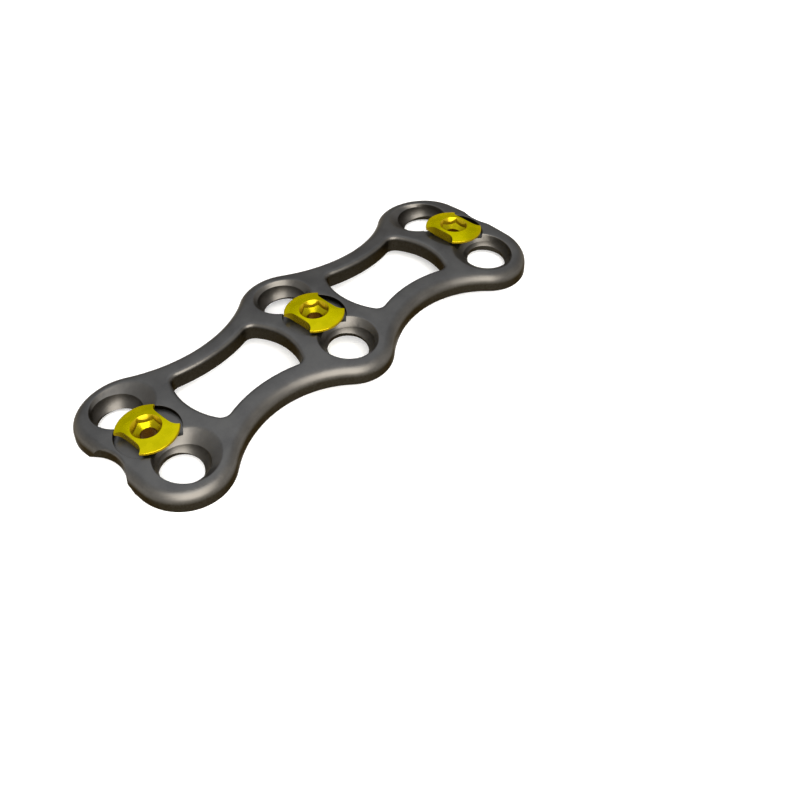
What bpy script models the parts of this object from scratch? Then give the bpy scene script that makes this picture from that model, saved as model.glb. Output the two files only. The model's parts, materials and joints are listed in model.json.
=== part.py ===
"""Two-level cervical bone plate with three turning lock cams.

Metres, +Z up. X runs along the plate, Y across it. The origin is on the surface
that the plate stands on, under its middle. The plate is arched along its length
and across its width, so it stands on the lower edges of its four end lobes.
"""
import math

import bmesh
import bpy
from mathutils import Matrix, Vector

# Driving sizes, in metres

# Rows of screws
ROW_PITCH = 0.0200             # from the middle row to each end row

# Plate blank
THICKNESS = 0.00185            # bone side to top face
ARCH_RADIUS = 0.2480           # lengthwise arch of the bone side
SADDLE_RADIUS = 0.0530         # crosswise arch of the bone side
END_LOBE_SETBACK = 0.00034     # centre of each end lobe, inside the end row
END_LOBE_X = ROW_PITCH - END_LOBE_SETBACK
END_LOBE_Y = 0.00398
END_LOBE_RADIUS = 0.00478
MID_LOBE_Y = 0.00434           # centre of each middle lobe
MID_LOBE_RADIUS = 0.00448
WAIST_RADIUS = 0.01124         # hollow between an end lobe and a middle lobe
TOP_FILLET = 0.00100           # round on the outer top edge
BONE_EDGE_BREAK = 0.00015      # small bevel on the outer lower edge

# Graft windows
WINDOW_INNER_X = 0.00393       # end nearer the middle row
WINDOW_OUTER_SETBACK = 0.00428  # end nearer the end row, inside that row
WINDOW_OUTER_X = ROW_PITCH - WINDOW_OUTER_SETBACK
WINDOW_INNER_END_RADIUS = 0.00638
WINDOW_OUTER_END_RADIUS = 0.00688
WINDOW_CORNER_RADIUS = 0.00090
STRUT_WIDTH = 0.00234          # side strut beside each window
WINDOW_FILLET = 0.00045
WINDOW_FILLET_END = math.radians(76.0)  # where the round leaves the top face
WINDOW_RUN_OUT = 0.5           # length of the cutter past that, per fillet radius

# End notches
NOTCH_RADIUS = 0.00398
NOTCH_REACH = 0.00366          # bottom of the notch, outside the end row
NOTCH_DEEPEST_X = ROW_PITCH + NOTCH_REACH
NOTCH_RELIEF = 0.00066         # bevel under the notch, for the holder's hook

# Screw holes
END_HOLE_OFFSET = 0.00031      # bore centre on the bone side, outside the end row
END_HOLE_X = ROW_PITCH + END_HOLE_OFFSET
END_HOLE_Y = 0.00442
MID_HOLE_Y = 0.00442           # bore centre on the bone side, middle row
END_HOLE_LEAN = 0.140          # lean toward the plate's middle, per unit of height
END_HOLE_SPREAD = 0.090        # lean toward the plate's side
MID_HOLE_SPREAD = 0.080
SCREW_BORE_RADIUS = 0.00195
SEAT_RADIUS = 0.00250          # ball seat for the screw's head
SEAT_START = 0.00035           # height where the ball seat meets the bore
FLARE_START = 0.00100          # height where the flare meets the ball seat
END_FLARE_RADIUS = 0.00306     # flare mouth at the top face
END_FLARE_INSET = 0.00050      # mouth centre, inside the end row
MID_FLARE_RADIUS = 0.00288
FLARE_MOUTH_Y = 0.00450        # mouth centre, from the centre line

# Lock cams
RUNNING_GAP = 0.00020          # between a cam and the plate, all round
CAM_RADIUS = 0.00290
CAM_PROUD = 0.00034            # cam rim above the plate's top face
CAM_CROWN = 0.00027            # rise of the domed top from the rim to the socket
CAM_LAND_RADIUS = 0.00178      # flat ring round the socket
CAM_DOME_RING = 0.00235        # radius of the one ring between land and rim
CAM_RIM = 0.00026              # thickness of the cam's outer edge
CAM_EDGE_BREAK = 0.00008
CAM_THRUST_RADIUS = 0.00200    # flat ring under the cam
RECESS_DEPTH = 0.00045         # pocket that the cam sits in
RECESS_CLEARANCE = 0.00016     # pocket wall to cam rim
STEM_RADIUS = 0.00150
LIP_RADIUS = 0.00190           # rolled-out foot that keeps the cam in the plate
LIP_THICKNESS = 0.00035
LIP_SETBACK = 0.00010          # foot's underside above the bone side
SCALLOP_DEPTH_RADIUS = 0.00172  # cam centre to the flat of each scallop
SCALLOP_FLAT = 0.00184         # straight part of each scallop
SCALLOP_CORNER = 0.00095       # round at both ends of each scallop
SOCKET_CORNER_RADIUS = 0.00140  # hexagon socket, centre to corner
SOCKET_TURN = math.radians(30.0)  # a corner toward each long side of the plate
SOCKET_MOUTH_RADIUS = SOCKET_CORNER_RADIUS + 0.00003
SOCKET_CONE_DEPTH = 0.00040    # where the guide cone meets the middle of a flat
SOCKET_DEPTH = 0.00073         # foot of the hexagon, at the middle of a flat
LEDGE_DEPTH = 0.00104          # where the cone ledge meets the bore
THROUGH_BORE_RADIUS = 0.00080

# Fineness
ARC_STEP = 0.00105             # longest chord on an outline
TURNED_STEPS = 28              # sides of a turned shape
SOCKET_STEPS = 24              # sides of the socket, a multiple of six
SEAT_STEPS = 4
FILLET_STEPS = 3
GRID_X = 0.0044                # spacing of the cuts that let the blank bend
GRID_Y = 0.0024
GRID_SHIFT = 0.37              # keeps the cuts off the outline's own corners

PART_NAME = "cervical_bone_plate"


def start_clean():
    """Remove the scene's objects and the data they leave."""
    for obj in list(bpy.data.objects):
        bpy.data.objects.remove(obj, do_unlink=True)
    for mesh in list(bpy.data.meshes):
        if mesh.users == 0:
            bpy.data.meshes.remove(mesh)


def collection(name):
    found = bpy.data.collections.get(name)
    if found is None:
        found = bpy.data.collections.new(name)
        bpy.context.scene.collection.children.link(found)
    return found


def add_object(name, data, coll):
    obj = bpy.data.objects.new(name, data)
    coll.objects.link(obj)
    return obj


def add_cutter(name, mesh):
    obj = add_object(name, mesh, collection("cutters"))
    obj.hide_render = True
    obj.display_type = "WIRE"
    return obj


def evaluated_mesh(obj):
    """A mesh of the object as its modifiers leave it; the object is removed."""
    depsgraph = bpy.context.evaluated_depsgraph_get()
    depsgraph.update()
    mesh = bpy.data.meshes.new_from_object(obj.evaluated_get(depsgraph))
    bpy.data.objects.remove(obj, do_unlink=True)
    return mesh


def closed_mesh(mesh):
    """Weld a mesh and point its faces out."""
    bm = bmesh.new()
    bm.from_mesh(mesh)
    bmesh.ops.remove_doubles(bm, verts=bm.verts, dist=1e-7)
    bmesh.ops.recalc_face_normals(bm, faces=bm.faces)
    bm.to_mesh(mesh)
    bm.free()
    return mesh


def material(name, colour, metallic, roughness):
    mat = bpy.data.materials.new(name)
    mat.use_nodes = True
    shader = mat.node_tree.nodes["Principled BSDF"]
    shader.inputs["Base Color"].default_value = (*colour, 1.0)
    shader.inputs["Metallic"].default_value = metallic
    shader.inputs["Roughness"].default_value = roughness
    mat.diffuse_color = (*colour, 1.0)
    return mat


# Plan outlines, made of tangent arcs

def angle_of(centre, point):
    return math.atan2(point[1] - centre[1], point[0] - centre[0])


def arc(centre, radius, start, end, reference=None):
    """Points on an arc, both ends included, with chords of ARC_STEP or less.

    reference is the radius that sets the number of points, so that the offset
    copies of one outline keep the same number.
    """
    span = abs(end - start) * (reference or radius)
    count = max(3, math.ceil(span / ARC_STEP))
    points = []
    for i in range(count + 1):
        a = start + (end - start) * i / count
        points.append((centre[0] + radius * math.cos(a), centre[1] + radius * math.sin(a)))
    return points


def circle_meet(c1, r1, c2, r2, side):
    """Where two circles cross; side picks one of the two points."""
    dx, dy = c2[0] - c1[0], c2[1] - c1[1]
    d = math.hypot(dx, dy)
    along = (r1 * r1 - r2 * r2 + d * d) / (2.0 * d)
    off = math.sqrt(max(r1 * r1 - along * along, 0.0))
    return (c1[0] + (along * dx - side * off * dy) / d, c1[1] + (along * dy + side * off * dx) / d)


def toward(c1, c2, r):
    """The point at distance r from c1 on the way to c2."""
    d = math.hypot(c2[0] - c1[0], c2[1] - c1[1])
    return (c1[0] + (c2[0] - c1[0]) * r / d, c1[1] + (c2[1] - c1[1]) * r / d)


END_LOBE = (END_LOBE_X, END_LOBE_Y)
MID_LOBE = (0.0, MID_LOBE_Y)
WAIST = circle_meet(END_LOBE, END_LOBE_RADIUS + WAIST_RADIUS,
                    MID_LOBE, MID_LOBE_RADIUS + WAIST_RADIUS, -1.0)


def mirrored(quarter):
    """A closed outline from the points of its +X +Y quarter, end to top."""
    left = [(-x, y) for x, y in reversed(quarter)]
    lower_left = [(-x, -y) for x, y in quarter]
    lower_right = [(x, -y) for x, y in reversed(quarter)]
    ring = []
    for x, y in quarter + left + lower_left + lower_right:
        if not ring or math.hypot(x - ring[-1][0], y - ring[-1][1]) > 1e-6:
            ring.append((x, y))
    if math.hypot(ring[0][0] - ring[-1][0], ring[0][1] - ring[-1][1]) < 1e-6:
        ring.pop()
    return ring


def plate_outline():
    """Four end lobes and two middle lobes, joined by waists; the ends are straight."""
    end_tangent = toward(END_LOBE, WAIST, END_LOBE_RADIUS)
    mid_tangent = toward(MID_LOBE, WAIST, MID_LOBE_RADIUS)
    quarter = [(END_LOBE_X + END_LOBE_RADIUS, 0.0)]
    quarter += arc(END_LOBE, END_LOBE_RADIUS, 0.0, angle_of(END_LOBE, end_tangent))
    quarter += arc(WAIST, WAIST_RADIUS, angle_of(WAIST, end_tangent),
                   angle_of(WAIST, mid_tangent))
    quarter += arc(MID_LOBE, MID_LOBE_RADIUS, angle_of(MID_LOBE, mid_tangent), math.pi / 2.0)
    return mirrored(quarter)


def window_outline(grow):
    """The +X window: two bowed ends, two bowed sides, four round corners."""
    side_radius = WAIST_RADIUS + STRUT_WIDTH
    outer_c = (WINDOW_OUTER_X - WINDOW_OUTER_END_RADIUS, 0.0)
    inner_c = (WINDOW_INNER_X + WINDOW_INNER_END_RADIUS, 0.0)
    corner = WINDOW_CORNER_RADIUS
    outer_k = circle_meet(outer_c, WINDOW_OUTER_END_RADIUS - corner,
                          WAIST, side_radius + corner, 1.0)
    other = circle_meet(outer_c, WINDOW_OUTER_END_RADIUS - corner,
                        WAIST, side_radius + corner, -1.0)
    outer_k = outer_k if outer_k[0] > other[0] else other
    inner_k = circle_meet(inner_c, WINDOW_INNER_END_RADIUS - corner,
                          WAIST, side_radius + corner, 1.0)
    other = circle_meet(inner_c, WINDOW_INNER_END_RADIUS - corner,
                        WAIST, side_radius + corner, -1.0)
    inner_k = inner_k if inner_k[0] < other[0] else other
    a_outer = angle_of(outer_c, outer_k)
    a_outer_side = angle_of(WAIST, outer_k)
    a_inner_side = angle_of(WAIST, inner_k)
    a_inner = angle_of(inner_c, inner_k)
    half = arc(outer_c, WINDOW_OUTER_END_RADIUS + grow, 0.0, a_outer, WINDOW_OUTER_END_RADIUS)
    half += arc(outer_k, corner + grow, a_outer, a_outer_side + math.pi, corner * 2.0)
    half += arc(WAIST, side_radius - grow, a_outer_side, a_inner_side, side_radius)
    half += arc(inner_k, corner + grow, a_inner_side + math.pi, a_inner, corner * 2.0)
    half += arc(inner_c, WINDOW_INNER_END_RADIUS + grow, a_inner, math.pi,
                WINDOW_INNER_END_RADIUS)
    ring = []
    for x, y in half + [(x, -y) for x, y in reversed(half)]:
        if not ring or math.hypot(x - ring[-1][0], y - ring[-1][1]) > 1e-6:
            ring.append((x, y))
    if math.hypot(ring[0][0] - ring[-1][0], ring[0][1] - ring[-1][1]) < 1e-6:
        ring.pop()
    return ring


# Solids from outlines and profiles

def prism(name, ring, bottom, top):
    """A flat outline given a thickness: a 2D curve, turned into a welded mesh."""
    curve = bpy.data.curves.new(name, "CURVE")
    curve.dimensions = "2D"
    curve.fill_mode = "BOTH"
    curve.extrude = (top - bottom) / 2.0
    spline = curve.splines.new("POLY")
    spline.points.add(len(ring) - 1)
    for point, (x, y) in zip(spline.points, ring):
        point.co = (x, y, 0.0, 1.0)
    spline.use_cyclic_u = True
    obj = add_object(name, curve, collection("cutters"))
    mesh = evaluated_mesh(obj)
    bpy.data.curves.remove(curve)
    mesh.transform(Matrix.Translation((0.0, 0.0, (top + bottom) / 2.0)))
    return closed_mesh(mesh)


def loft(name, rings):
    """A closed skin over rings of equal counts, each a list of (x, y, z)."""
    bm = bmesh.new()
    loops = []
    for ring in rings:
        loops.append([bm.verts.new(p) for p in ring])
    for low, high in zip(loops, loops[1:]):
        n = len(low)
        for i in range(n):
            j = (i + 1) % n
            bm.faces.new((low[i], low[j], high[j], high[i]))
    bm.faces.new(list(reversed(loops[0])))
    bm.faces.new(loops[-1])
    bmesh.ops.recalc_face_normals(bm, faces=bm.faces)
    mesh = bpy.data.meshes.new(name)
    bm.to_mesh(mesh)
    bm.free()
    return mesh


def turned(name, profile, steps):
    """A turned solid: a profile of (radius, height) with a Screw modifier.

    The profile starts and ends on the axis and runs from top to bottom.
    """
    mesh = bpy.data.meshes.new(name)
    points = [(r, 0.0, z) for r, z in profile]
    edges = [(i, i + 1) for i in range(len(points) - 1)]
    mesh.from_pydata(points, edges, [])
    obj = add_object(name, mesh, collection("cutters"))
    screw = obj.modifiers.new("turn", "SCREW")
    screw.axis = "Z"
    screw.angle = math.tau
    screw.steps = steps
    screw.render_steps = steps
    screw.use_merge_vertices = True
    screw.merge_threshold = 1e-6
    turned_mesh = evaluated_mesh(obj)
    bpy.data.meshes.remove(mesh)
    return closed_mesh(turned_mesh)


def joined(name, meshes):
    """One mesh that holds several closed solids."""
    bm = bmesh.new()
    for mesh in meshes:
        bm.from_mesh(mesh)
    result = bpy.data.meshes.new(name)
    bm.to_mesh(result)
    bm.free()
    for mesh in meshes:
        bpy.data.meshes.remove(mesh)
    return result


def cut(obj, cutter, operation="DIFFERENCE"):
    boolean = obj.modifiers.new(cutter.name, "BOOLEAN")
    boolean.operation = operation
    boolean.solver = "EXACT"
    boolean.object = cutter
    return boolean


# The arched surfaces

def sag(x, y):
    """Height of the bone side relative to its middle."""
    return (math.sqrt(ARCH_RADIUS ** 2 - x * x) - ARCH_RADIUS
            + math.sqrt(SADDLE_RADIUS ** 2 - y * y) - SADDLE_RADIUS)


def row_matrix(row):
    """Frame on the bone side at a row's centre, Z square to the arch."""
    x = row * ROW_PITCH
    lean = math.asin(x / ARCH_RADIUS)
    return Matrix.Translation((x, 0.0, sag(x, 0.0))) @ Matrix.Rotation(lean, 4, "Y")


def hole_matrix(row, side):
    """Frame at a screw bore's centre on the bone side, Z along the screw."""
    if row:
        x, y = row * END_HOLE_X, side * END_HOLE_Y
        axis = Vector((-row * END_HOLE_LEAN, side * END_HOLE_SPREAD, 1.0))
    else:
        x, y = 0.0, side * MID_HOLE_Y
        axis = Vector((0.0, side * MID_HOLE_SPREAD, 1.0))
    turn = Vector((0.0, 0.0, 1.0)).rotation_difference(axis.normalized()).to_matrix().to_4x4()
    return Matrix.Translation((x, y, sag(x, y))) @ turn


# The plate

def flat_blank():
    """The plate before it is arched, with its edges rounded and its windows cut."""
    mesh = prism("plate_blank", plate_outline(), 0.0, THICKNESS)
    bm = bmesh.new()
    bm.from_mesh(mesh)
    for level in (0.0, THICKNESS):
        cap = [f for f in bm.faces
               if all(abs(v.co.z - level) < 1e-7 for v in f.verts)]
        bmesh.ops.dissolve_faces(bm, faces=cap)
    top = [e for e in bm.edges if all(abs(v.co.z - THICKNESS) < 1e-7 for v in e.verts)]
    bmesh.ops.bevel(bm, geom=top, offset=min(TOP_FILLET, THICKNESS * 0.8),
                    segments=FILLET_STEPS, profile=0.5, affect="EDGES")
    low = [e for e in bm.edges if all(abs(v.co.z) < 1e-7 for v in e.verts)]
    bmesh.ops.bevel(bm, geom=low, offset=BONE_EDGE_BREAK, segments=1, affect="EDGES")
    bm.to_mesh(mesh)
    bm.free()
    blank = add_object("plate_blank", mesh, collection("cutters"))
    cutters = []
    for side in (1.0, -1.0):
        rings = []
        for height, grow in window_flare():
            ring = [(side * x, y, height) for x, y in window_outline(grow)]
            rings.append(ring)
        cutters.append(loft("window", rings))
    windows = add_cutter("window_cutter", joined("window_cutter", cutters))
    cut(blank, windows)
    return evaluated_mesh(blank), windows


def window_flare():
    """Heights of the window's wall, with how far each is outside the outline."""
    yield -THICKNESS, 0.0
    yield THICKNESS - WINDOW_FILLET, 0.0
    last = WINDOW_FILLET_END
    for i in range(1, FILLET_STEPS):
        a = last * i / (FILLET_STEPS - 1)
        yield (THICKNESS - WINDOW_FILLET * (1.0 - math.sin(a)),
               WINDOW_FILLET * (1.0 - math.cos(a)))
    run = WINDOW_FILLET * WINDOW_RUN_OUT
    yield (THICKNESS - WINDOW_FILLET * (1.0 - math.sin(last)) + run * math.cos(last),
           WINDOW_FILLET * (1.0 - math.cos(last)) + run * math.sin(last))


def arch(mesh):
    """Cut the flat blank on a grid and drop each point by the arches' sag."""
    bm = bmesh.new()
    bm.from_mesh(mesh)
    reach = {"x": max(abs(v.co.x) for v in bm.verts), "y": max(abs(v.co.y) for v in bm.verts)}
    for axis, step, normal in (("x", GRID_X, (1, 0, 0)), ("y", GRID_Y, (0, 1, 0))):
        count = int(reach[axis] / step)
        for i in range(-count, count + 1):
            at = (i + GRID_SHIFT) * step
            point = (at, 0, 0) if axis == "x" else (0, at, 0)
            bmesh.ops.bisect_plane(bm, geom=bm.verts[:] + bm.edges[:] + bm.faces[:],
                                   dist=2e-6, plane_co=point, plane_no=normal)
    for v in bm.verts:
        v.co.z += sag(v.co.x, v.co.y)
    bmesh.ops.triangulate(bm, faces=[f for f in bm.faces if len(f.verts) > 3])
    bmesh.ops.recalc_face_normals(bm, faces=bm.faces)
    bm.to_mesh(mesh)
    bm.free()
    return mesh


def notch_cutter():
    """A round cut in each end, wider at the bone side."""
    above = THICKNESS * 3.0
    below = -THICKNESS * 2.0
    profile = [(0.0, above), (NOTCH_RADIUS, above), (NOTCH_RADIUS, NOTCH_RELIEF),
               (NOTCH_RADIUS + NOTCH_RELIEF - below, below), (0.0, below)]
    cuts = []
    for side in (1.0, -1.0):
        mesh = turned("notch", profile, TURNED_STEPS * 2)
        x = side * (NOTCH_DEEPEST_X + NOTCH_RADIUS)
        mesh.transform(Matrix.Translation((x, 0.0, sag(side * NOTCH_DEEPEST_X, 0.0))))
        cuts.append(mesh)
    return add_cutter("notch_cutter", joined("notch_cutter", cuts))


SEAT_CENTRE = SEAT_START + math.sqrt(SEAT_RADIUS ** 2 - SCREW_BORE_RADIUS ** 2)


def seat_radius_at(height):
    """Radius of the ball seat at a height along the screw's axis."""
    if height >= SEAT_CENTRE:
        return SEAT_RADIUS
    return math.sqrt(SEAT_RADIUS ** 2 - (SEAT_CENTRE - height) ** 2)


def screw_cutter():
    """Bore and ball seat of the six screw holes."""
    above = THICKNESS * 2.0
    below = -THICKNESS
    profile = [(0.0, above), (SEAT_RADIUS, above)]
    for i in range(SEAT_STEPS + 1):
        height = SEAT_CENTRE + (SEAT_START - SEAT_CENTRE) * i / SEAT_STEPS
        profile.append((seat_radius_at(height), height))
    profile += [(SCREW_BORE_RADIUS, below), (0.0, below)]
    cuts = []
    for row in (1, 0, -1):
        for side in (1, -1):
            mesh = turned("screw_hole", profile, TURNED_STEPS)
            mesh.transform(hole_matrix(row, side))
            cuts.append(mesh)
    return add_cutter("screw_cutter", joined("screw_cutter", cuts))


def flare_cutter():
    """Slanting cones that open the screw holes toward the driver."""
    depth = THICKNESS - FLARE_START
    reach = 2.2
    cuts = []
    for row in (1, 0, -1):
        for side in (1, -1):
            mouth = END_FLARE_RADIUS if row else MID_FLARE_RADIUS
            x = row * END_HOLE_X
            y = side * (END_HOLE_Y if row else MID_HOLE_Y)
            lean_x = -row * END_HOLE_LEAN
            lean_y = side * (END_HOLE_SPREAD if row else MID_HOLE_SPREAD)
            # the cone's small end is the ball seat's own section at that height
            low = Vector((x + lean_x * SEAT_CENTRE, y + lean_y * SEAT_CENTRE, FLARE_START))
            high = Vector((row * (ROW_PITCH - END_FLARE_INSET), side * FLARE_MOUTH_Y, THICKNESS))
            low_radius = seat_radius_at(FLARE_START)
            slope = (high - low) / depth
            top_radius = low_radius + (mouth - low_radius) * reach
            bm = bmesh.new()
            bmesh.ops.create_cone(bm, cap_ends=True, segments=TURNED_STEPS,
                                  radius1=low_radius, radius2=top_radius, depth=depth * reach)
            for v in bm.verts:
                rise = v.co.z + depth * reach / 2.0
                v.co.x += low.x + slope.x * rise
                v.co.y += low.y + slope.y * rise
                v.co.z = low.z + rise + sag(x, y)
            mesh = bpy.data.meshes.new("flare")
            bm.to_mesh(mesh)
            bm.free()
            cuts.append(mesh)
    return add_cutter("flare_cutter", joined("flare_cutter", cuts))


def cam_pocket_cutter():
    """Pocket, stem bore and lower step for each lock cam."""
    floor = THICKNESS - RECESS_DEPTH
    step = LIP_SETBACK + LIP_THICKNESS + RUNNING_GAP
    pocket = CAM_RADIUS + RECESS_CLEARANCE
    bore = STEM_RADIUS + RUNNING_GAP
    foot = LIP_RADIUS + RUNNING_GAP
    above = THICKNESS * 2.0
    below = -THICKNESS
    profile = [(0.0, above), (pocket, above), (pocket, floor), (bore, floor),
               (bore, step), (foot, step), (foot, below), (0.0, below)]
    cuts = []
    for row in (1, 0, -1):
        mesh = turned("cam_pocket", profile, TURNED_STEPS)
        mesh.transform(row_matrix(row))
        cuts.append(mesh)
    return add_cutter("cam_pocket_cutter", joined("cam_pocket_cutter", cuts))


def make_plate(frame, metal):
    mesh, windows = flat_blank()
    bpy.data.objects.remove(windows, do_unlink=True)
    mesh = arch(closed_mesh(mesh))
    mesh.name = "bone_plate"
    mesh.materials.clear()
    mesh.materials.append(metal)
    plate = add_object("bone_plate", mesh, collection(PART_NAME))
    for cutter in (notch_cutter(), cam_pocket_cutter(), screw_cutter(), flare_cutter()):
        cutter.parent = frame
        cut(plate, cutter)
    plate.parent = frame
    return plate


# The lock cams

def scallop_ring(side):
    """Plan of one scallop: a flat-bottomed bay with round corners."""
    half = SCALLOP_FLAT / 2.0
    inner = SCALLOP_DEPTH_RADIUS
    far = CAM_RADIUS * 2.0
    points = arc((inner + SCALLOP_CORNER, half), SCALLOP_CORNER, math.pi, math.pi / 2.0,
                 SCALLOP_CORNER * 2.0)
    points.append((far, half + SCALLOP_CORNER))
    points += [(x, -y) for x, y in reversed(points)]
    ring = [(side * x, y) for x, y in points]
    return ring if side > 0 else list(reversed(ring))


CAM_TOP = CAM_PROUD + CAM_CROWN


def cam_mesh():
    """Domed head, stem and rolled-out foot. Z = 0 is the plate's top face."""
    thrust = RUNNING_GAP - RECESS_DEPTH
    foot_low = LIP_SETBACK - THICKNESS
    foot_top = foot_low + LIP_THICKNESS
    edge = CAM_EDGE_BREAK
    rim = CAM_RADIUS - edge
    dome = CAM_CROWN * ((rim ** 2 - CAM_DOME_RING ** 2)
                        / (rim ** 2 - SOCKET_MOUTH_RADIUS ** 2))
    profile = [(0.0, CAM_TOP), (CAM_LAND_RADIUS, CAM_TOP), (CAM_DOME_RING, CAM_PROUD + dome),
               (rim, CAM_PROUD), (CAM_RADIUS, CAM_PROUD - edge),
               (CAM_RADIUS, CAM_PROUD - CAM_RIM), (CAM_THRUST_RADIUS, thrust),
               (STEM_RADIUS, thrust), (STEM_RADIUS, foot_top + LIP_RADIUS - STEM_RADIUS),
               (LIP_RADIUS, foot_top), (LIP_RADIUS, foot_low), (0.0, foot_low)]
    return turned("cam_body", profile, TURNED_STEPS)


def cam_socket_mesh():
    """Guide cone, hexagon, cone ledge and through bore as one closed skin."""
    top = CAM_TOP
    rise = CAM_PROUD
    flat = SOCKET_CORNER_RADIUS * math.cos(math.pi / 6.0)
    cone_fall = SOCKET_CONE_DEPTH / (SOCKET_MOUTH_RADIUS - flat)
    ledge_fall = (LEDGE_DEPTH - SOCKET_DEPTH) / (flat - THROUGH_BORE_RADIUS)
    rings = [[], [], [], [], []]
    for i in range(SOCKET_STEPS):
        a = math.tau * i / SOCKET_STEPS
        from_flat = (a - SOCKET_TURN) % (math.pi / 3.0) - math.pi / 6.0
        reach = flat / math.cos(from_flat)
        spoke = [(SOCKET_MOUTH_RADIUS + rise / cone_fall, top + rise),
                 (reach, top - cone_fall * (SOCKET_MOUTH_RADIUS - reach)),
                 (reach, top - SOCKET_DEPTH + ledge_fall * (reach - flat)),
                 (THROUGH_BORE_RADIUS, top - LEDGE_DEPTH),
                 (THROUGH_BORE_RADIUS, -THICKNESS * 2.0)]
        for ring, (r, z) in zip(rings, spoke):
            ring.append((r * math.cos(a), r * math.sin(a), z))
    return loft("socket", rings)


def make_cam(name, row, frame, gold):
    """One lock cam, its origin on its turning axis at the plate's top face."""
    holder = bpy.data.objects.new(name + "_axis", None)
    collection(PART_NAME).objects.link(holder)
    holder.parent = frame
    holder.matrix_local = row_matrix(row) @ Matrix.Translation((0.0, 0.0, THICKNESS))
    mesh = cam_mesh()
    mesh.name = name
    mesh.materials.clear()
    mesh.materials.append(gold)
    cam = add_object(name, mesh, collection(PART_NAME))
    cam.parent = holder
    scallops = joined(name + "_scallops",
                      [prism("scallop", scallop_ring(side), -RECESS_DEPTH, CAM_TOP * 2.0)
                       for side in (1, -1)])
    for label, tool in (("scallops", scallops), ("socket", cam_socket_mesh())):
        cutter = add_cutter(name + "_" + label, tool)
        cutter.parent = holder
        cut(cam, cutter)
    return cam


def main():
    start_clean()
    frame = bpy.data.objects.new("plate_frame", None)
    collection(PART_NAME).objects.link(frame)
    titanium = material("grey_titanium", (0.065, 0.065, 0.063), 0.85, 0.42)
    gold = material("gold_titanium", (0.42, 0.38, 0.003), 1.0, 0.30)
    plate = make_plate(frame, titanium)
    # the lowest corners of the arched blank rest on the surface
    frame.location.z = -min(v.co.z for v in plate.data.vertices)
    for label, row in (("left", -1), ("middle", 0), ("right", 1)):
        make_cam(label + "_lock_cam", row, frame, gold)


main()
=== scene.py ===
# %% [markdown]
# # A bone plate with three turning lock cams
# The real object is a thin titanium plate that holds three neck vertebrae together.
# Bone screws go through its six holes. Between each pair of holes sits a small gold
# cam, which a driver turns a quarter round so that it covers the screw heads.
# The script loads the engineering model first. Every size here is in metres and in
# the same frame, so each finer piece lies exactly where its plain solid lies.

# %% Load the plain solids
import json
import math

import bmesh
import bpy
from mathutils import Matrix, Vector

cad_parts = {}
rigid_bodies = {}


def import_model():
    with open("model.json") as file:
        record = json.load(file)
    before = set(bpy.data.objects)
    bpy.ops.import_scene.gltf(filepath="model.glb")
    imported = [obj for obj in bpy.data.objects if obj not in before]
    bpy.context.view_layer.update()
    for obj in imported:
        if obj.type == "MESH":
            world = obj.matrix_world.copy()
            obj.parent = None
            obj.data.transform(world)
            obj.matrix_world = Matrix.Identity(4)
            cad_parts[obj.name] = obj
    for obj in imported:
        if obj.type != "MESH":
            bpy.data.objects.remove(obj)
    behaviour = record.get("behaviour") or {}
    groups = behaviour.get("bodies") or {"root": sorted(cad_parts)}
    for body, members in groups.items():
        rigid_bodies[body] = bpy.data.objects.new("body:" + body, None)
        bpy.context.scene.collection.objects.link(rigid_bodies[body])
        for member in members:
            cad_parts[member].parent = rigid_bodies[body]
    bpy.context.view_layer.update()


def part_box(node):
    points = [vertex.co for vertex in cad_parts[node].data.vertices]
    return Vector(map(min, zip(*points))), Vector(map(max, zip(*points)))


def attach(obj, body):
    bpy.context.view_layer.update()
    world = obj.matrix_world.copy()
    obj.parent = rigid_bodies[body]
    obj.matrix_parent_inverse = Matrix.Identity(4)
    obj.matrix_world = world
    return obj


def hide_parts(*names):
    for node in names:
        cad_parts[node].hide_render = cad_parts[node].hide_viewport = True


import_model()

# %% [markdown]
# ## Sizes of the plate
# A maker keeps the driving sizes of a part in one list, so that a change is made
# once. These are the plate's own sizes. Everything below is worked out from them.

# %% Sizes of the plate
ROW_PITCH = 0.0200            # middle row of holes to each end row
THICKNESS = 0.00185
ARCH_RADIUS = 0.2480          # lengthwise arch of the side that lies on the bone
SADDLE_RADIUS = 0.0530        # crosswise arch
END_LOBE = (ROW_PITCH - 0.00034, 0.00398)
END_LOBE_RADIUS = 0.00478
MID_LOBE = (0.0, 0.00434)
MID_LOBE_RADIUS = 0.00448
WAIST_RADIUS = 0.01124
TOP_FILLET = 0.00100
BONE_EDGE_ROUND = 0.00015

WINDOW_INNER_X = 0.00393
WINDOW_OUTER_X = ROW_PITCH - 0.00428
WINDOW_INNER_END_RADIUS = 0.00638
WINDOW_OUTER_END_RADIUS = 0.00688
WINDOW_CORNER_RADIUS = 0.00090
STRUT_WIDTH = 0.00234
WINDOW_FILLET = 0.00045

NOTCH_RADIUS = 0.00398
NOTCH_DEEPEST_X = ROW_PITCH + 0.00366
NOTCH_RELIEF = 0.00066
NOTCH_FILLET = 0.00030

# %% [markdown]
# ## Sizes of the screw holes and the cams
# A screw hole has three parts, one above the other: a plain bore, a ball seat that
# lets the screw tilt, and a slanting flare that leaves room for the driver. The
# cam is a low domed button with two bays cut into its rim.

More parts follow.
